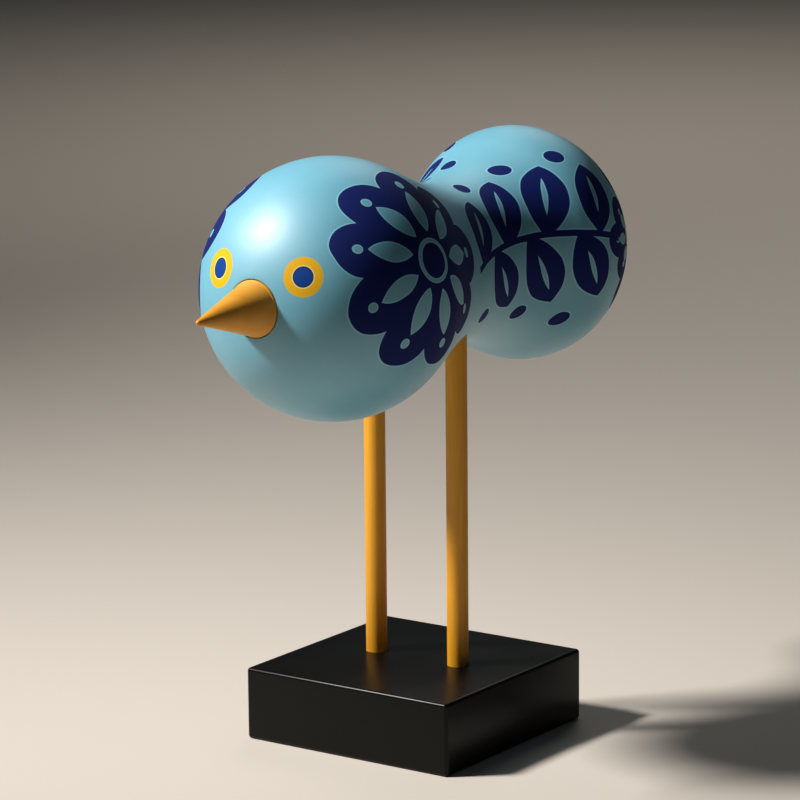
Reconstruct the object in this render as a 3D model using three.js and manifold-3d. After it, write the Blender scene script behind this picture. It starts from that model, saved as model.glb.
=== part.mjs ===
// A bird figurine: a turned body of two round lobes, a cone beak, two dowel legs and a square plinth.
// Millimetres, +Z up. The origin is the centre of the plinth's underside and the bird faces -Y.

import * as THREE from 'three';
import { RoundedBoxGeometry } from 'three/addons/geometries/RoundedBoxGeometry.js';
import { mergeVertices } from 'three/addons/utils/BufferGeometryUtils.js';
import Module from 'manifold-3d';

const wasm = await Module();
wasm.setup();

// Plinth
const PLINTH_SIDE = 112;
const PLINTH_HEIGHT = 34;
const PLINTH_EDGE_RADIUS = 1.5;
const PLINTH_SOCKET_DEPTH = 15;

// Legs
const LEG_DIAMETER = 10;
const LEG_SPACING = 46; // between the centre lines of the two legs
const LEG_SETBACK = 2; // how far behind the plinth's centre the legs are
const LEG_END_CHAMFER = 0.6;

// Body, a round turning whose axis is level and runs from beak to tail
const BODY_AXIS_ABOVE_PLINTH = 184;
const HEAD_RADIUS = 59;
const HEAD_AHEAD_OF_LEGS = 64;
const HEAD_FLANK_ANGLE = THREE.MathUtils.degToRad(20); // slope where the ball runs into the waist
const WAIST_RADIUS = 37.2;
const WAIST_BEHIND_LEGS = 21;
const TAIL_RADIUS = 55.7;
const TAIL_BEHIND_LEGS = 84.5;
const TAIL_END_DEPTH = 44.5; // from the tail's widest ring to its rear end
const TAIL_FLANK_ANGLE = THREE.MathUtils.degToRad(31);
const BODY_SOCKET_DEPTH = 14; // measured up from the underside of the body over the leg

// Beak
const BEAK_RADIUS = 12.6;
const BEAK_REACH = 39.6; // from its rim to its tip
const BEAK_TIP_RADIUS = 1.2;
const BEAK_SEAT_DEPTH = 1.5; // how deep its back sits below the head's surface at the rim

// Room left around and under each piece that sits in another
const FIT_GAP = 0.3;

// Fineness of the round forms
const BODY_SIDES = 56;
const DOWEL_SIDES = 32;
const BEAK_SIDES = 40;
const EDGE_STEPS = 4;
const HEAD_STEPS = 18;
const FLANK_STEPS = 8;
const TAIL_STEPS = 14;
const TIP_STEPS = 5;

const LEG_RADIUS = LEG_DIAMETER / 2;
const bodyAxisHeight = PLINTH_HEIGHT + BODY_AXIS_ABOVE_PLINTH;

// A geometry as a solid with shared corners, ready to be cut.
function toSolid(geometry) {
  const bare = geometry.clone();
  bare.deleteAttribute('normal');
  bare.deleteAttribute('uv');
  const merged = mergeVertices(bare, 1e-4);
  return new wasm.Manifold(new wasm.Mesh({
    numProp: 3,
    vertProperties: new Float32Array(merged.attributes.position.array),
    triVerts: new Uint32Array(merged.index.array),
  }));
}

function toGeometry(solid) {
  const mesh = solid.getMesh();
  const geometry = new THREE.BufferGeometry();
  geometry.setAttribute('position', new THREE.BufferAttribute(new Float32Array(mesh.vertProperties), 3));
  geometry.setIndex(new THREE.BufferAttribute(new Uint32Array(mesh.triVerts), 1));
  geometry.computeVertexNormals();
  return geometry;
}

// Cuts each tool out of a geometry.
function cut(geometry, tools) {
  const left = tools.reduce((solid, tool) => solid.subtract(toSolid(tool)), toSolid(geometry));
  return toGeometry(left);
}

// An upright cylinder from one height to another, at a place in plan.
function uprightCylinder(radius, bottom, top, x, y) {
  const geometry = new THREE.CylinderGeometry(radius, radius, top - bottom, DOWEL_SIDES);
  geometry.rotateX(Math.PI / 2);
  geometry.translate(x, y, (bottom + top) / 2);
  return geometry;
}

// A smooth curve r(y) between two points with given slopes, without its first point.
function flank(from, slopeFrom, to, slopeTo) {
  const span = to.y - from.y;
  return Array.from({ length: FLANK_STEPS }, (_, i) => {
    const t = (i + 1) / FLANK_STEPS;
    const r = (2 * t ** 3 - 3 * t ** 2 + 1) * from.x + (t ** 3 - 2 * t ** 2 + t) * span * slopeFrom
      + (3 * t ** 2 - 2 * t ** 3) * to.x + (t ** 3 - t ** 2) * span * slopeTo;
    return new THREE.Vector2(r, from.y + t * span);
  });
}

// Points of an ellipse about the axis, given by the direction that its surface faces, from straight ahead (0)
// through sideways (a quarter turn) to straight back (a half turn).
function lobe(centre, depth, radius, facingFrom, facingTo, steps) {
  return Array.from({ length: steps + 1 }, (_, i) => {
    const facing = THREE.MathUtils.lerp(facingFrom, facingTo, i / steps);
    const support = Math.hypot(depth * Math.cos(facing), radius * Math.sin(facing));
    const r = facing === 0 || facing === Math.PI ? 0 : radius ** 2 * Math.sin(facing) / support;
    return new THREE.Vector2(r, centre - depth ** 2 * Math.cos(facing) / support);
  });
}

// Half outline of the body from the head's front to the tail's end: x is the radius and y runs back from the legs.
function bodyProfile() {
  const head = lobe(-HEAD_AHEAD_OF_LEGS, HEAD_RADIUS, HEAD_RADIUS, 0, Math.PI / 2 + HEAD_FLANK_ANGLE, HEAD_STEPS);
  const tail = lobe(TAIL_BEHIND_LEGS, TAIL_END_DEPTH, TAIL_RADIUS, Math.PI / 2 - TAIL_FLANK_ANGLE, Math.PI, TAIL_STEPS);
  const waist = new THREE.Vector2(WAIST_RADIUS, WAIST_BEHIND_LEGS);
  return [
    ...head,
    ...flank(head.at(-1), -Math.tan(HEAD_FLANK_ANGLE), waist, 0),
    ...flank(waist, 0, tail[0], Math.tan(TAIL_FLANK_ANGLE)),
    ...tail.slice(1),
  ];
}

// Radius of the body at a place along its axis.
function bodyRadiusAt(y) {
  const profile = bodyProfile();
  const next = profile.findIndex((point) => point.y > y);
  const [before, after] = [profile[next - 1], profile[next]];
  return THREE.MathUtils.mapLinear(y, before.y, after.y, before.x, after.x);
}

// Places along the body's axis, seen from the legs.
const beakRim = -HEAD_AHEAD_OF_LEGS - Math.sqrt(HEAD_RADIUS ** 2 - BEAK_RADIUS ** 2);
const beakBack = beakRim + BEAK_SEAT_DEPTH;

// Heights of the legs' ends. A leg meets the body off-centre, where the round underside has risen a little.
const legX = LEG_SPACING / 2;
const bodyRadiusAtLegs = bodyRadiusAt(0);
const bodyUnderLeg = bodyAxisHeight - Math.sqrt(bodyRadiusAtLegs ** 2 - legX ** 2);
const bodySocketTop = bodyUnderLeg + BODY_SOCKET_DEPTH;
const plinthSocketFloor = PLINTH_HEIGHT - PLINTH_SOCKET_DEPTH;
const legBottom = plinthSocketFloor + FIT_GAP;
const legTop = bodySocketTop - FIT_GAP;
const legSides = { leg_left: 1, leg_right: -1 };

function plinthGeometry() {
  const block = new RoundedBoxGeometry(PLINTH_SIDE, PLINTH_SIDE, PLINTH_HEIGHT, EDGE_STEPS, PLINTH_EDGE_RADIUS);
  block.translate(0, 0, PLINTH_HEIGHT / 2);
  const sockets = Object.values(legSides).map((side) => uprightCylinder(
    LEG_RADIUS + FIT_GAP, plinthSocketFloor, PLINTH_HEIGHT + PLINTH_EDGE_RADIUS, side * legX, LEG_SETBACK,
  ));
  return cut(block, sockets);
}

// A dowel with chamfered ends, standing on its own origin.
function legGeometry() {
  const length = legTop - legBottom;
  const outline = [
    [0, 0], [LEG_RADIUS - LEG_END_CHAMFER, 0], [LEG_RADIUS, LEG_END_CHAMFER],
    [LEG_RADIUS, length - LEG_END_CHAMFER], [LEG_RADIUS - LEG_END_CHAMFER, length], [0, length],
  ].map(([r, z]) => new THREE.Vector2(r, z));
  const dowel = new THREE.LatheGeometry(outline, DOWEL_SIDES);
  dowel.rotateX(Math.PI / 2);
  return toGeometry(toSolid(dowel));
}

// The turned body about its own axis, with a seat for the beak and a socket for each leg.
function bodyGeometry() {
  const turning = new THREE.LatheGeometry(bodyProfile(), BODY_SIDES);
  const seatLength = BEAK_REACH;
  const beakSeat = new THREE.CylinderGeometry(BEAK_RADIUS + FIT_GAP, BEAK_RADIUS + FIT_GAP, seatLength, BEAK_SIDES);
  beakSeat.translate(0, beakBack + FIT_GAP - seatLength / 2, 0);
  const sockets = Object.values(legSides).map((side) => uprightCylinder(
    LEG_RADIUS + FIT_GAP, -bodyRadiusAtLegs - LEG_RADIUS, bodySocketTop - bodyAxisHeight, side * legX, 0,
  ));
  return cut(turning, [beakSeat, ...sockets]);
}

// A cone with a rounded tip, pointing along -Y, on a short cylinder that sits in the head.
function beakGeometry() {
  const tipCentre = beakRim - BEAK_REACH + BEAK_TIP_RADIUS;
  const run = beakRim - tipCentre;
  const halfAngle = Math.atan2(BEAK_RADIUS, run) - Math.asin(BEAK_TIP_RADIUS / Math.hypot(BEAK_RADIUS, run));
  const tip = Array.from({ length: TIP_STEPS + 1 }, (_, i) => {
    const turn = (i / TIP_STEPS) * (Math.PI / 2 - halfAngle);
    const r = i === 0 ? 0 : BEAK_TIP_RADIUS * Math.sin(turn);
    return new THREE.Vector2(r, tipCentre - BEAK_TIP_RADIUS * Math.cos(turn));
  });
  const outline = [
    ...tip, new THREE.Vector2(BEAK_RADIUS, beakRim), new THREE.Vector2(BEAK_RADIUS, beakBack),
    new THREE.Vector2(0, beakBack),
  ];
  return toGeometry(toSolid(new THREE.LatheGeometry(outline, BEAK_SIDES)));
}

const skyBlue = new THREE.MeshStandardMaterial({ color: 0x7cc4d6, roughness: 0.38, metalness: 0 });
const orange = new THREE.MeshStandardMaterial({ color: 0xe09a3c, roughness: 0.5, metalness: 0 });
const yellow = new THREE.MeshStandardMaterial({ color: 0xe39a1e, roughness: 0.55, metalness: 0 });
const black = new THREE.MeshStandardMaterial({ color: 0x15130f, roughness: 0.3, metalness: 0 });

function namedMesh(name, geometry, material) {
  const mesh = new THREE.Mesh(geometry, material);
  mesh.name = name;
  return mesh;
}

const figurine = new THREE.Group();

figurine.add(namedMesh('plinth', plinthGeometry(), black));

for (const [name, side] of Object.entries(legSides)) {
  const leg = namedMesh(name, legGeometry(), yellow);
  leg.position.set(side * legX, LEG_SETBACK, legBottom);
  figurine.add(leg);
}

const bird = new THREE.Group();
bird.position.set(0, LEG_SETBACK, bodyAxisHeight);
bird.add(namedMesh('body', bodyGeometry(), skyBlue));
bird.add(namedMesh('beak', beakGeometry(), orange));
figurine.add(bird);

export default figurine;
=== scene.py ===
# A painted wooden bird figurine on a black plinth: the looks of its five pieces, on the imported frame.
import math

import bpy
from mathutils import Matrix, Vector


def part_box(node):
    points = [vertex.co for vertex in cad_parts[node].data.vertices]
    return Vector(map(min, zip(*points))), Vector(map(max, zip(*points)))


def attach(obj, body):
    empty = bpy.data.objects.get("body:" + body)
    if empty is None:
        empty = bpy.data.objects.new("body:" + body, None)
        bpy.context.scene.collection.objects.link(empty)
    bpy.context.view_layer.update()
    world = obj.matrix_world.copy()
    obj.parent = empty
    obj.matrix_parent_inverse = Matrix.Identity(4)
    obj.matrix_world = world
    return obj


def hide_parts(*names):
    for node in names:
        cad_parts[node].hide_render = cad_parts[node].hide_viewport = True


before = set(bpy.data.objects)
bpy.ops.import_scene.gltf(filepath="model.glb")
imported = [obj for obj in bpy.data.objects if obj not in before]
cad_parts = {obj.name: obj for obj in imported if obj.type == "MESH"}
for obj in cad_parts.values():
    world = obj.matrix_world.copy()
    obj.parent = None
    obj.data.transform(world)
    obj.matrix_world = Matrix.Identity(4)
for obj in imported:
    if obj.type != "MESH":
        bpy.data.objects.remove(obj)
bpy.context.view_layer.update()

MM = 0.001

# Camera, worked out from the plinth's corners in the photograph
CAMERA_PLACE = Vector((0.9730, -1.3981, 0.5124))
CAMERA_AZIMUTH = math.radians(35.03)
CAMERA_PITCH = math.radians(11.79)
CAMERA_ROLL = math.radians(-0.51)
CAMERA_LENS = 170.4
CAMERA_SENSOR = 36

# Body, a round turning whose axis is level
HEAD_RADIUS = 59 * MM
HEAD_AHEAD_OF_LEGS = 64 * MM
HEAD_FLANK_ANGLE = math.radians(20)
WAIST_RADIUS = 37.2 * MM
WAIST_BEHIND_LEGS = 21 * MM
TAIL_RADIUS = 55.7 * MM
TAIL_BEHIND_LEGS = 84.5 * MM
TAIL_END_DEPTH = 44.5 * MM
TAIL_FLANK_ANGLE = math.radians(31)

# Small roundings and the room round a piece that sits in another
FIT_GAP = 0.3 * MM
SEAT_LIP = 0.35 * MM
BEAK_TIP_RADIUS = 1.2 * MM
BEAK_RIM_RADIUS = 0.9 * MM
LEG_END_RADIUS = 0.6 * MM
PLINTH_EDGE_RADIUS = 1.7 * MM

# Fineness of the round forms
BODY_SIDES = 192
DOWEL_SIDES = 96
ARC_STEP = math.radians(2.5)
FEWEST_ARC_STEPS = 3
FLANK_STEPS = 20
FILLET_STEPS = 5
PLINTH_EDGE_STEPS = 8
SMOOTH_BELOW = math.radians(32)
SAME_POINT = 0.002 * MM
DRILL_PAST = 5 * MM

# Eyes, in millimetres: rings painted on the head ball by hand, so not quite alike
EYE_YAW_LEFT = math.radians(23.7)
EYE_YAW_RIGHT = math.radians(22.0)
EYE_PITCH = math.radians(15.0)
EYE_RING_RADIUS = 8.8
EYE_PUPIL_RADIUS = 4.6
EYE_LINE_WIDTH = 0.5
PUPIL_EDGE_WIDTH = 0.45

# Print, in millimetres on the skin laid flat, where X runs back along the body and Y up round it
PAINT_EDGE = 0.12
HALO_START = 0.25
HALO_END = 0.85
WOBBLE = 1.2
WOBBLE_SIZE = 26.0
NEARLY_FLAT = 400.0
STEM_HALF_WIDTH = 1.5
LEAF_ROUNDING = 2.5

# The sprig's leaves: where each one starts, its direction in degrees, its length and its width
SPRIG_LEAVES = (
    ((-88, -3), 64, 34, 19),
    ((-62, 2), 66, 38, 21),
    ((-36, 3), 68, 38, 20),
    ((-9, 0), 80, 34, 18),
    ((16, 16), 66, 26, 17),
    ((-73, 1), -60, 33, 20),
    ((-46, 4), -66, 37, 20),
    ((-20, 1), -70, 34, 19),
    ((10, -24), -62, 26, 17),
)

# The loose dots round the sprig: where each one is, and its radius
SPRIG_DOTS = (
    ((-64, 38), 4.4), ((-35, 43), 4.6), ((-12, 42), 4.4),
    ((-76, -30), 4.2), ((-46, -33), 4.4), ((-22, -42), 4.2),
)

# Paints, from their darker patches to their lighter ones
SKY_BLUES = (0.132, 0.402, 0.522, 1), (0.157, 0.438, 0.562, 1)
ORANGES = (0.71, 0.290, 0.013, 1), (0.79, 0.338, 0.021, 1)
YELLOWS = (0.78, 0.322, 0.002, 1), (0.86, 0.380, 0.005, 1)
BLACKS = (0.0020, 0.0018, 0.0015, 1), (0.0040, 0.0036, 0.0029, 1)
YELLOW_BLOTCH = (0.62, 0.23, 0.003, 1)
PALE_BLUE = (0.26, 0.66, 0.80, 1)
NAVY = (0.001, 0.009, 0.105, 1)
EYE_YELLOW = (0.80, 0.43, 0.008, 1)
EYE_LINE = (0.85, 0.66, 0.26, 1)
PUPIL_BLUE = (0.0, 0.045, 0.25, 1)
PUPIL_EDGE = (0.001, 0.008, 0.04, 1)
FLOOR_COLOUR = (0.70, 0.63, 0.555, 1)

# Studio, in metres
FLOOR_RADIUS = 14
FLOOR_SIDES = 96
FLOOR_LIGHT_HEIGHT = 1.8
DIM_ROOM = (0.020, 0.025, 0.029, 1)

# Places taken from the frame
body_low, body_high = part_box("body")
beak_low, beak_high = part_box("beak")
leg_low, leg_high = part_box("leg_left")
plinth_low, plinth_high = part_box("plinth")
axis_height = (body_low.z + body_high.z) / 2
legs_y = (leg_low.y + leg_high.y) / 2
leg_radius = (leg_high.x - leg_low.x) / 2
head_y = legs_y - HEAD_AHEAD_OF_LEGS
tail_y = legs_y + TAIL_BEHIND_LEGS
waist_y = legs_y + WAIST_BEHIND_LEGS
beak_radius = (beak_high.x - beak_low.x) / 2


# Outlines of the turned pieces. A point is (radius, place along the axis).

def arc(centre, radius, start, end, depth=None):
    """Points of an arc about the axis, by the way that it faces: 0 is straight ahead and half a turn is back."""
    depth = depth or radius
    count = max(FEWEST_ARC_STEPS, math.ceil(abs(end - start) / ARC_STEP))
    points = []
    for i in range(count + 1):
        facing = start + (end - start) * i / count
        reach = math.hypot(depth * math.cos(facing), radius * math.sin(facing))
        points.append((radius ** 2 * math.sin(facing) / reach, centre - depth ** 2 * math.cos(facing) / reach))
    return points


def rounding(centre_radius, centre_along, radius, start, end):
    """Points of a small fillet, by angle from the way out to the way along the axis."""
    angles = [start + (end - start) * i / FILLET_STEPS for i in range(FILLET_STEPS + 1)]
    return [(centre_radius + radius * math.cos(a), centre_along + radius * math.sin(a)) for a in angles]


def flank(start, start_slope, end, end_slope):
    """A smooth curve between two points, without its ends."""
    span = end[1] - start[1]
    points = []
    for i in range(1, FLANK_STEPS):
        t = i / FLANK_STEPS
        radius = ((2 * t ** 3 - 3 * t ** 2 + 1) * start[0] + (t ** 3 - 2 * t ** 2 + t) * span * start_slope
                  + (3 * t ** 2 - 2 * t ** 3) * end[0] + (t ** 3 - t ** 2) * span * end_slope)
        points.append((radius, start[1] + t * span))
    return points


def body_outline():
    seat_radius = beak_radius + FIT_GAP
    seat_floor = beak_high.y + FIT_GAP
    lip_out = seat_radius + SEAT_LIP
    lip_centre = head_y - math.sqrt((HEAD_RADIUS - SEAT_LIP) ** 2 - lip_out ** 2)
    lip_facing = math.asin(lip_out / (HEAD_RADIUS - SEAT_LIP))
    lip = rounding(lip_out, lip_centre, SEAT_LIP, math.pi, 1.5 * math.pi + lip_facing)
    head = arc(head_y, HEAD_RADIUS, lip_facing, math.pi / 2 + HEAD_FLANK_ANGLE)
    tail = arc(tail_y, TAIL_RADIUS, math.pi / 2 - TAIL_FLANK_ANGLE, math.pi, TAIL_END_DEPTH)
    waist = (WAIST_RADIUS, waist_y)
    return [
        (0, seat_floor), (seat_radius, seat_floor), *lip, *head[1:],
        *flank(head[-1], -math.tan(HEAD_FLANK_ANGLE), waist, 0), waist,
        *flank(waist, 0, tail[0], math.tan(TAIL_FLANK_ANGLE)), *tail[:-1], (0, tail[-1][1]),
    ]


def beak_outline():
    rim = head_y - math.sqrt(HEAD_RADIUS ** 2 - beak_radius ** 2)
    tip_centre = beak_low.y + BEAK_TIP_RADIUS
    slope = math.atan2(beak_radius - BEAK_TIP_RADIUS, rim - tip_centre)
    tip = arc(tip_centre, BEAK_TIP_RADIUS, 0, math.pi / 2 - slope)
    shoulder = rounding(beak_radius - BEAK_RIM_RADIUS, rim, BEAK_RIM_RADIUS, slope - math.pi / 2, 0)
    shoulder = [point for point in shoulder if point[0] > beak_radius - BEAK_RIM_RADIUS]
    return [(0, beak_low.y), *tip[1:], *shoulder[1:], (beak_radius, beak_high.y), (0, beak_high.y)]


def leg_outline():
    foot = rounding(leg_radius - LEG_END_RADIUS, leg_low.z + LEG_END_RADIUS, LEG_END_RADIUS, -math.pi / 2, 0)
    top = rounding(leg_radius - LEG_END_RADIUS, leg_high.z - LEG_END_RADIUS, LEG_END_RADIUS, 0, math.pi / 2)
    return [(0, leg_low.z), *foot, *top, (0, leg_high.z)]


# Modelling

def start_editing():
    bpy.ops.object.mode_set(mode="EDIT")


def stop_editing():
    bpy.ops.object.mode_set(mode="OBJECT")


def only(piece):
    """Selects one object and nothing else."""
    bpy.ops.object.select_all(action="DESELECT")
    piece.select_set(True)
    bpy.context.view_layer.objects.active = piece


def settle(piece, name):
    """Names a piece, moves its place into its mesh and smooths it up to its real edges."""
    only(piece)
    bpy.ops.object.transform_apply(location=True, rotation=True, scale=True)
    bpy.ops.object.shade_smooth_by_angle(angle=SMOOTH_BELOW)
    piece.name = name
    piece.data.name = name
    return piece


def turning(name, points, centre, axis, sides):
    """Extrudes a row of points from a single vertex and spins it once round an axis."""
    bpy.ops.object.select_all(action="DESELECT")
    bpy.ops.mesh.primitive_plane_add(size=1 * MM, location=points[0])
    piece = bpy.context.object
    start_editing()
    bpy.ops.mesh.merge(type="CENTER")
    for here, there in zip(points, points[1:]):
        bpy.ops.mesh.extrude_region_move(TRANSFORM_OT_translate={"value": there - here})
    bpy.ops.mesh.select_all(action="SELECT")
    bpy.ops.mesh.spin(steps=sides, angle=math.tau, center=centre, axis=axis)
    bpy.ops.mesh.select_all(action="SELECT")
    bpy.ops.mesh.remove_doubles(threshold=SAME_POINT)
    bpy.ops.mesh.normals_make_consistent(inside=False)
    stop_editing()
    return settle(piece, name)


def level_turning(name, outline, sides):
    """Turns a piece about the bird's level axis."""
    points = [Vector((0, along, axis_height + radius)) for radius, along in outline]
    return turning(name, points, (0, 0, axis_height), (0, 1, 0), sides)


def upright_turning(name, outline, x, sides):
    """Turns a piece about an upright axis, this far to the bird's left of its middle."""
    points = [Vector((x + radius, legs_y, along)) for radius, along in outline]
    return turning(name, points, (x, legs_y, 0), (0, 0, 1), sides)


def drill(piece, x, bottom, top):
    """Bores an upright hole for a leg between two heights."""
    bpy.ops.object.select_all(action="DESELECT")
    bpy.ops.mesh.primitive_cylinder_add(
        vertices=DOWEL_SIDES, radius=leg_radius + FIT_GAP, depth=top - bottom,
        location=(x, legs_y, (bottom + top) / 2),
    )
    bit = bpy.context.object
    only(piece)
    bore = piece.modifiers.new("bore", "BOOLEAN")
    bore.operation = "DIFFERENCE"
    bore.solver = "EXACT"
    bore.object = bit
    bpy.ops.object.modifier_apply(modifier=bore.name)
    bpy.data.objects.remove(bit)


def leg_places():
    """Each leg's name and how far it is to the bird's left of its middle."""
    return [(name, (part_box(name)[0].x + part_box(name)[1].x) / 2) for name in ("leg_left", "leg_right")]


def make_body():
    piece = level_turning("bird_body", body_outline(), BODY_SIDES)
    for _, x in leg_places():
        drill(piece, x, body_low.z - DRILL_PAST, leg_high.z + FIT_GAP)
    return settle(piece, "bird_body")


def make_beak():
    return level_turning("bird_beak", beak_outline(), DOWEL_SIDES)


def make_legs():
    return [(name, upright_turning("bird_" + name, leg_outline(), x, DOWEL_SIDES)) for name, x in leg_places()]


def make_plinth():
    size = plinth_high - plinth_low
    bpy.ops.object.select_all(action="DESELECT")
    bpy.ops.mesh.primitive_cube_add(size=1, location=(plinth_low + plinth_high) / 2, scale=size)
    piece = bpy.context.object
    bpy.ops.object.transform_apply(location=True, rotation=True, scale=True)
    start_editing()
    bpy.ops.mesh.select_all(action="SELECT")
    bpy.ops.mesh.bevel(offset=PLINTH_EDGE_RADIUS, segments=PLINTH_EDGE_STEPS, affect="EDGES")
    stop_editing()
    for _, x in leg_places():
        drill(piece, x, leg_low.z - FIT_GAP, plinth_high.z + DRILL_PAST)
    return settle(piece, "bird_plinth")


# Finishes

class Finish:
    """A material in the making: its shader, and one method that adds any other node."""

    def __init__(self, name, **constants):
        self.material = bpy.data.materials.new(name)
        self.material.use_nodes = True
        self.tree = self.material.node_tree
        self.shader = self.tree.nodes["Principled BSDF"]
        for socket, value in constants.items():
            self.shader.inputs[socket.replace("_", " ")].default_value = value

    def node(self, kind, output, inputs, **settings):
        """Adds a node with its settings and the values or links of its sockets, and gives one of its outputs."""
        node = self.tree.nodes.new(kind)
        for name, value in settings.items():
            setattr(node, name, value)
        for key, value in inputs.items():
            socket = next(s for s in node.inputs if s.identifier == key)
            if isinstance(value, Field):
                self.tree.links.new(value.socket, socket)
            else:
                socket.default_value = value
        return Field(self, next(s for s in node.outputs if s.identifier == output))

    def feed(self, name, field):
        """Links a field to one of the shader's sockets."""
        self.tree.links.new(field.socket, self.shader.inputs[name])

    def place(self):
        """Where a point is on the figurine, in millimetres."""
        metres = self.node("ShaderNodeTexCoord", "Object", {})
        return self.node("ShaderNodeVectorMath", "Vector", {"Vector": metres, "Scale": 1 / MM}, operation="SCALE")

    def noise(self, place, size, detail=2.0, output="Fac"):
        """Soft noise from 0 to 1 whose blotches are about this many millimetres across."""
        return self.node("ShaderNodeTexNoise", output, {"Vector": place, "Scale": 1 / size, "Detail": detail})

    def stretched(self, place, scale):
        """A place whose pattern is drawn out along an axis whose scale is below 1."""
        return self.node("ShaderNodeMapping", "Vector", {"Vector": place, "Scale": scale})

    def mix(self, share, first, second):
        """The first colour where the share is 0 and the second where it is 1."""
        return self.node(
            "ShaderNodeMix", "Result_Color", {"Factor_Float": share, "A_Color": first, "B_Color": second},
            data_type="RGBA",
        )

    def relief(self, height, depth):
        """A normal from a height between 0 and 1 that stands for this many millimetres."""
        return self.node("ShaderNodeBump", "Normal", {"Height": height, "Distance": depth * MM, "Strength": 1.0})


class Field:
    """A value that varies over a surface. Sums of fields read as plain expressions."""

    def __init__(self, finish, socket):
        self.finish = finish
        self.socket = socket

    def math(self, operation, *values):
        keys = ("Value", "Value_001", "Value_002")
        return self.finish.node("ShaderNodeMath", "Value", dict(zip(keys, values)), operation=operation)

    def __add__(self, other):
        return self.math("ADD", self, other)

    def __radd__(self, other):
        return self.math("ADD", other, self)

    def __sub__(self, other):
        return self.math("SUBTRACT", self, other)

    def __rsub__(self, other):
        return self.math("SUBTRACT", other, self)

    def __mul__(self, other):
        return self.math("MULTIPLY", self, other)

    def __rmul__(self, other):
        return self.math("MULTIPLY", other, self)

    def __truediv__(self, other):
        return self.math("DIVIDE", self, other)

    def __neg__(self):
        return self.math("MULTIPLY", self, -1.0)

    def __abs__(self):
        return self.math("ABSOLUTE", self)

    def __pow__(self, power):
        return self.math("POWER", self, power)

    def below(self, other):
        """The lower of two values."""
        return self.math("MINIMUM", self, other)

    def above(self, other):
        """The higher of two values."""
        return self.math("MAXIMUM", self, other)

    def axis(self, name):
        """One axis of a place."""
        return self.finish.node("ShaderNodeSeparateXYZ", name, {"Vector": self})

    def distance(self, point):
        """How far a place is from a point."""
        inputs = {"Vector": self, "Vector_001": point}
        return self.finish.node("ShaderNodeVectorMath", "Value", inputs, operation="DISTANCE")

    def step(self, start, end):
        """0 before the start and 1 after the end, smooth between them."""
        inputs = {"Value": self, "From Min": start, "From Max": end}
        return self.finish.node("ShaderNodeMapRange", "Result", inputs, interpolation_type="SMOOTHSTEP")


def length(first, second):
    """The length of the line across two others at a right angle."""
    return (first * first + second * second) ** 0.5


# The print, a generic folk floral. A shape is a field of millimetres, negative inside it.

def spread(first, *others):
    """All of several shapes."""
    for other in others:
        first = first.below(other)
    return first


def without(shape, *holes):
    """A shape with others cut out of it."""
    for hole in holes:
        shape = shape.above(-hole)
    return shape


def dot(flat, centre, radius):
    return flat.distance((*centre, 0)) - radius


def turned(flat, centre, degrees):
    """The two axes of a spot of the print, turned to a direction."""
    spot = flat.finish.node(
        "ShaderNodeMapping", "Vector",
        {"Vector": flat, "Location": (*centre, 0), "Rotation": (0, 0, math.radians(degrees))},
        vector_type="TEXTURE",
    )
    return spot.axis("X"), spot.axis("Y")


def almond(along, across, half_length, half_width):
    """A pointed oval."""
    bow = (half_length ** 2 - half_width ** 2) / (2 * half_width)
    return length(along, abs(across) + bow) - (bow + half_width)


def leaf(flat, base, degrees, long, wide):
    """A plump leaf with a pale midrib, growing from its base in a direction."""
    way = math.radians(degrees)
    middle = (base[0] + math.cos(way) * long / 2, base[1] + math.sin(way) * long / 2)
    along, across = turned(flat, middle, degrees)
    blade = almond(along, across, long / 2 - LEAF_ROUNDING, wide / 2 - LEAF_ROUNDING) - LEAF_ROUNDING
    rib = almond(along - 0.04 * long, across, 0.27 * long, 0.065 * wide)
    return without(blade, rib)


def rosette(flat, centre, petals, reach, petal_radius):
    """A round flower with a scalloped edge, a drop and a bead cut out of each petal and a ring round its eye."""
    along, up = turned(flat, centre, 0)
    out = length(along, up)
    angle = up.math("ARCTAN2", up, along)
    turn = angle.math("PINGPONG", angle, math.pi / petals)
    forward = out * turn.math("COSINE", turn)
    sideways = out * turn.math("SINE", turn)
    scallops = spread(length(forward - reach, sideways) - petal_radius, out - reach)
    drop_middle = 0.66 * reach
    drops = almond(forward - drop_middle, sideways, 0.3 * reach, 0.33 * petal_radius)
    beads = length(forward - 1.08 * reach, sideways) - 0.17 * petal_radius
    ring = abs(out - 0.25 * reach) - 0.03 * reach
    return without(scallops, drops, beads, ring)


def stem(flat, centre, radius, low, high):
    """A stretch of a ring, between two places along the body."""
    band = abs(flat.distance((*centre, 0)) - radius) - STEM_HALF_WIDTH
    along = flat.axis("X")
    return band.above(low - along).above(along - high)


def laid_flat(finish, place, middle, front, rear, turn):
    """The skin of both flanks laid flat round a place along the body, where the turn is up from level.

    The body rounds off ahead of that place and behind it as an ellipse of the front or rear depth does.
    """
    x = abs(place.axis("X"))
    up = place.axis("Z") - axis_height / MM
    back = place.axis("Y") - middle / MM
    out = length(x, up)
    around = (up.math("ARCTAN2", up, x) - math.radians(turn)) * out
    bent_front = back.below(0.0) / front
    bent_rear = back.above(0.0) / rear
    along = bent_front.math("ARCSINE", bent_front) * front + bent_rear.math("ARCSINE", bent_rear) * rear
    return finish.node("ShaderNodeCombineXYZ", "Vector", {"X": along, "Y": around})


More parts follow.
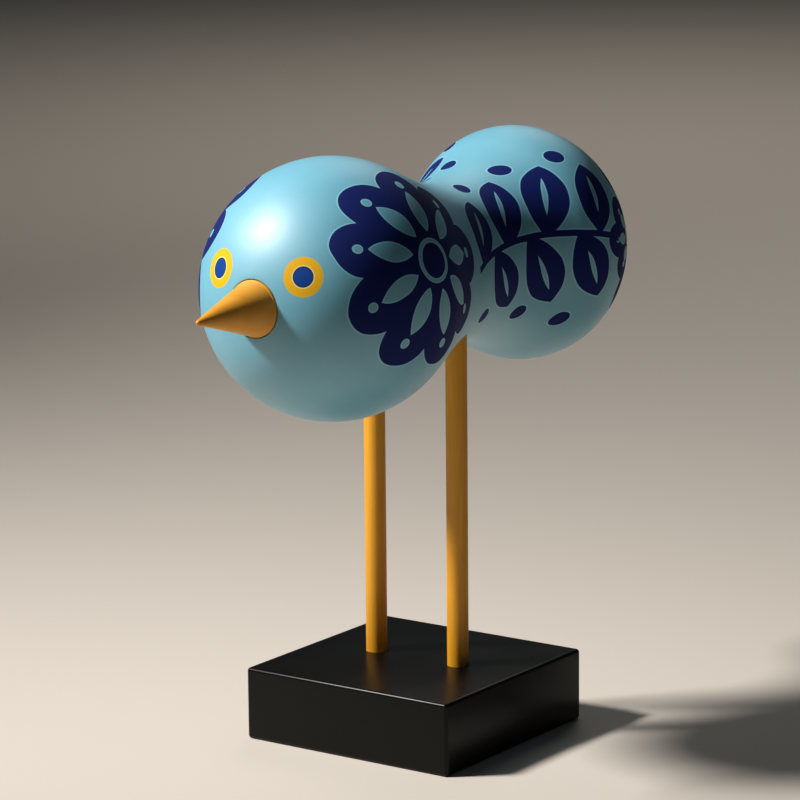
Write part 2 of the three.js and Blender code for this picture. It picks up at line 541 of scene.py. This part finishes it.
def floral_print(finish, place):
    """A flower on each side of the head and a sprig on each flank, drawn by a slightly unsteady hand."""
    wobble = finish.noise(place, WOBBLE_SIZE, output="Color")
    shift = finish.node(
        "ShaderNodeVectorMath", "Vector",
        {"Vector": wobble, "Vector_001": (2 * WOBBLE,) * 3, "Vector_002": (-WOBBLE,) * 3},
        operation="MULTIPLY_ADD",
    )
    drawn = finish.node("ShaderNodeVectorMath", "Vector", {"Vector": place, "Vector_001": shift}, operation="ADD")
    head = laid_flat(finish, drawn, head_y, front=HEAD_RADIUS / MM, rear=NEARLY_FLAT, turn=18)
    tail = laid_flat(finish, drawn, tail_y, front=NEARLY_FLAT, rear=1.1 * TAIL_END_DEPTH / MM, turn=12)
    bloom = rosette(head, (-1, 0), petals=9, reach=36, petal_radius=13.5)
    sprig = spread(
        stem(tail, (-45, -130), radius=134, low=-94, high=4),
        rosette(tail, (18, -6), petals=6, reach=13.5, petal_radius=8.5),
        *(leaf(tail, *growth) for growth in SPRIG_LEAVES),
        *(dot(tail, *spot) for spot in SPRIG_DOTS),
    )
    return spread(bloom, sprig)


# The finishes of the pieces and the floor

def eye_place(yaw):
    """The middle of an eye on the head ball, by how far it looks to the bird's left."""
    level = math.cos(EYE_PITCH) * HEAD_RADIUS
    height = axis_height + math.sin(EYE_PITCH) * HEAD_RADIUS
    return Vector((math.sin(yaw) * level, head_y - math.cos(yaw) * level, height)) / MM


def inside(gap, radius):
    """1 within a distance and 0 beyond it, with a painted edge between them."""
    return 1 - gap.step(radius - PAINT_EDGE, radius + PAINT_EDGE)


def sky_blue_paint():
    """Satin paint that carries the print and the eyes. Only the bare paint has its soft sheen."""
    finish = Finish("sky_blue_paint", Coat_Roughness=0.5, Coat_IOR=1.75, Specular_IOR_Level=0.2)
    place = finish.place()
    mottle = finish.noise(place, 34.0, detail=4.0)
    paint = finish.mix(mottle.step(0.3, 0.7), *SKY_BLUES)
    shape = floral_print(finish, place)
    halo = (1 - shape.step(HALO_START, HALO_END)) * 0.75
    printed = inside(shape, 0)
    colour = finish.mix(printed, finish.mix(halo, paint, PALE_BLUE), NAVY)

    # The eyes: a yellow ring round a blue pupil, with a thin pale line and a dark edge between them
    gap = place.distance(eye_place(EYE_YAW_LEFT)).below(place.distance(eye_place(-EYE_YAW_RIGHT)))
    for radius, ink in (
        (EYE_RING_RADIUS, EYE_YELLOW), (EYE_PUPIL_RADIUS + EYE_LINE_WIDTH, EYE_LINE),
        (EYE_PUPIL_RADIUS, PUPIL_EDGE), (EYE_PUPIL_RADIUS - PUPIL_EDGE_WIDTH, PUPIL_BLUE),
    ):
        colour = finish.mix(inside(gap, radius), colour, ink)
    bare = (1 - printed) * (1 - inside(gap, EYE_RING_RADIUS))
    finish.feed("Base Color", colour)
    finish.feed("Roughness", 0.5 + finish.noise(place, 18.0, detail=3.0) * 0.08 + printed * 0.2)
    finish.feed("Coat Weight", bare * (0.75 + mottle * 0.2))
    finish.feed("Normal", finish.relief(finish.noise(place, 0.9, detail=3.0), 0.012))
    return finish.material


def orange_paint():
    finish = Finish("orange_paint", Specular_IOR_Level=0.6)
    place = finish.place()
    mottle = finish.noise(place, 9.0, detail=4.0)
    finish.feed("Base Color", finish.mix(mottle.step(0.3, 0.7), *ORANGES))
    finish.feed("Roughness", 0.46 + mottle * 0.1)
    finish.feed("Normal", finish.relief(finish.noise(place, 0.8, detail=3.0), 0.015))
    return finish.material


def yellow_paint():
    """Thick paint brushed up and down a dowel, with small dimples that crowd towards its foot."""
    finish = Finish("yellow_paint", Specular_IOR_Level=0.7)
    place = finish.place()
    streaks = finish.noise(finish.stretched(place, (1, 1, 0.05)), 1.3, detail=3.0)
    dimples = finish.noise(finish.stretched(place, (1, 1, 1.4)), 0.85, detail=2.0)
    low_down = 1 - place.axis("Z").step(plinth_high.z / MM + 20, plinth_high.z / MM + 100)
    blotches = finish.noise(place, 12.0, detail=3.0)
    paint = finish.mix(streaks.step(0.25, 0.75), *YELLOWS)
    finish.feed("Base Color", finish.mix(blotches * 0.25, paint, YELLOW_BLOTCH))
    finish.feed("Roughness", 0.46 + blotches * 0.12)
    height = streaks * 0.35 + dimples * (0.35 + low_down * 0.65)
    finish.feed("Normal", finish.relief(height, 0.11))
    return finish.material


def black_lacquer():
    """Satin lacquer that dulls in blotches, over a faint grain along X."""
    finish = Finish("black_lacquer", Specular_IOR_Level=0.16)
    place = finish.place()
    blotches = finish.noise(place, 22.0, detail=5.0)
    grain = finish.noise(finish.stretched(place, (0.06, 1, 1)), 1.6, detail=3.0)
    finish.feed("Base Color", finish.mix(blotches, *BLACKS))
    finish.feed("Roughness", 0.23 + blotches * 0.10 + grain * 0.03)
    finish.feed("Normal", finish.relief(grain, 0.008))
    return finish.material


def pale_floor_paint():
    finish = Finish("pale_floor", Roughness=0.7, Specular_IOR_Level=0.2)
    finish.shader.inputs["Base Color"].default_value = FLOOR_COLOUR
    return finish.material


# Studio

def direction(azimuth, elevation):
    """A way out from the bird: azimuth 0 is straight ahead of it and a quarter turn is on its left."""
    level = math.cos(elevation)
    return Vector((math.sin(azimuth) * level, -math.cos(azimuth) * level, math.sin(elevation)))


def from_bird(azimuth, elevation, distance):
    """A place round the bird's middle, with its angles in degrees."""
    return bird_middle + direction(math.radians(azimuth), math.radians(elevation)) * distance


def soft_light(name, place, target, size, watts, colour, beam):
    """A round lamp that looks at its target, with its beam's width in degrees."""
    light = bpy.data.lights.new(name, "AREA")
    light.shape = "DISK"
    light.size = size
    light.energy = watts
    light.color = colour
    light.spread = math.radians(beam)
    lamp = bpy.data.objects.new(name, light)
    bpy.context.scene.collection.objects.link(lamp)
    lamp.location = place
    lamp.rotation_mode = "QUATERNION"
    lamp.rotation_quaternion = (target - place).to_track_quat("-Z", "Y")


def make_floor():
    bpy.ops.object.select_all(action="DESELECT")
    bpy.ops.mesh.primitive_circle_add(
        vertices=FLOOR_SIDES, radius=FLOOR_RADIUS, fill_type="NGON", location=(0, 0, 0),
    )
    floor = bpy.context.object
    floor.name = "pale_floor"
    floor.data.materials.append(pale_floor_paint())


def make_camera():
    camera = bpy.data.objects.new("camera", bpy.data.cameras.new("camera"))
    camera.data.lens = CAMERA_LENS
    camera.data.sensor_width = CAMERA_SENSOR
    bpy.context.scene.collection.objects.link(camera)
    back = direction(CAMERA_AZIMUTH, CAMERA_PITCH)
    right = Vector((math.cos(CAMERA_AZIMUTH), math.sin(CAMERA_AZIMUTH), 0))
    up = back.cross(right)
    rolled_right = right * math.cos(CAMERA_ROLL) + up * math.sin(CAMERA_ROLL)
    rolled_up = up * math.cos(CAMERA_ROLL) - right * math.sin(CAMERA_ROLL)
    turn = Matrix((rolled_right, rolled_up, back)).transposed()
    camera.matrix_world = Matrix.Translation(CAMERA_PLACE) @ turn.to_4x4()
    bpy.context.scene.camera = camera


def make_studio():
    """A small key light from the bird's right, a weak fill behind it, and a lamp over the floor behind."""
    make_floor()
    soft_light(
        "key_light", from_bird(-46, 42, 1.5), from_bird(0, 0, 0.03),
        size=0.26, watts=7.0, colour=(1.0, 0.985, 0.96), beam=78,
    )
    soft_light(
        "back_fill", from_bird(205, 38, 1.8), bird_middle,
        size=0.9, watts=3.0, colour=(1.0, 0.97, 0.93), beam=180,
    )
    behind = from_bird(208, 0, 2.1) - Vector((0, 0, axis_height))
    soft_light(
        "floor_light", behind + Vector((0, 0, FLOOR_LIGHT_HEIGHT)), behind,
        size=1.2, watts=3.6, colour=(1.0, 0.95, 0.88), beam=98,
    )
    world = bpy.data.worlds.new("dim_room")
    world.use_nodes = True
    world.node_tree.nodes["Background"].inputs["Color"].default_value = DIM_ROOM
    bpy.context.scene.world = world
    bpy.context.scene.view_settings.view_transform = "Standard"
    make_camera()


def dress(piece, node, material):
    """Paints a piece, hangs it on the root body and hides the solid it stands for."""
    piece.data.materials.clear()
    piece.data.materials.append(material)
    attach(piece, "root")
    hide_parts(node)


bird_middle = Vector((0, legs_y, axis_height))
make_studio()
dress(make_body(), "body", sky_blue_paint())
dress(make_beak(), "beak", orange_paint())
legs_paint = yellow_paint()
for leg_name, leg_piece in make_legs():
    dress(leg_piece, leg_name, legs_paint)
dress(make_plinth(), "plinth", black_lacquer())
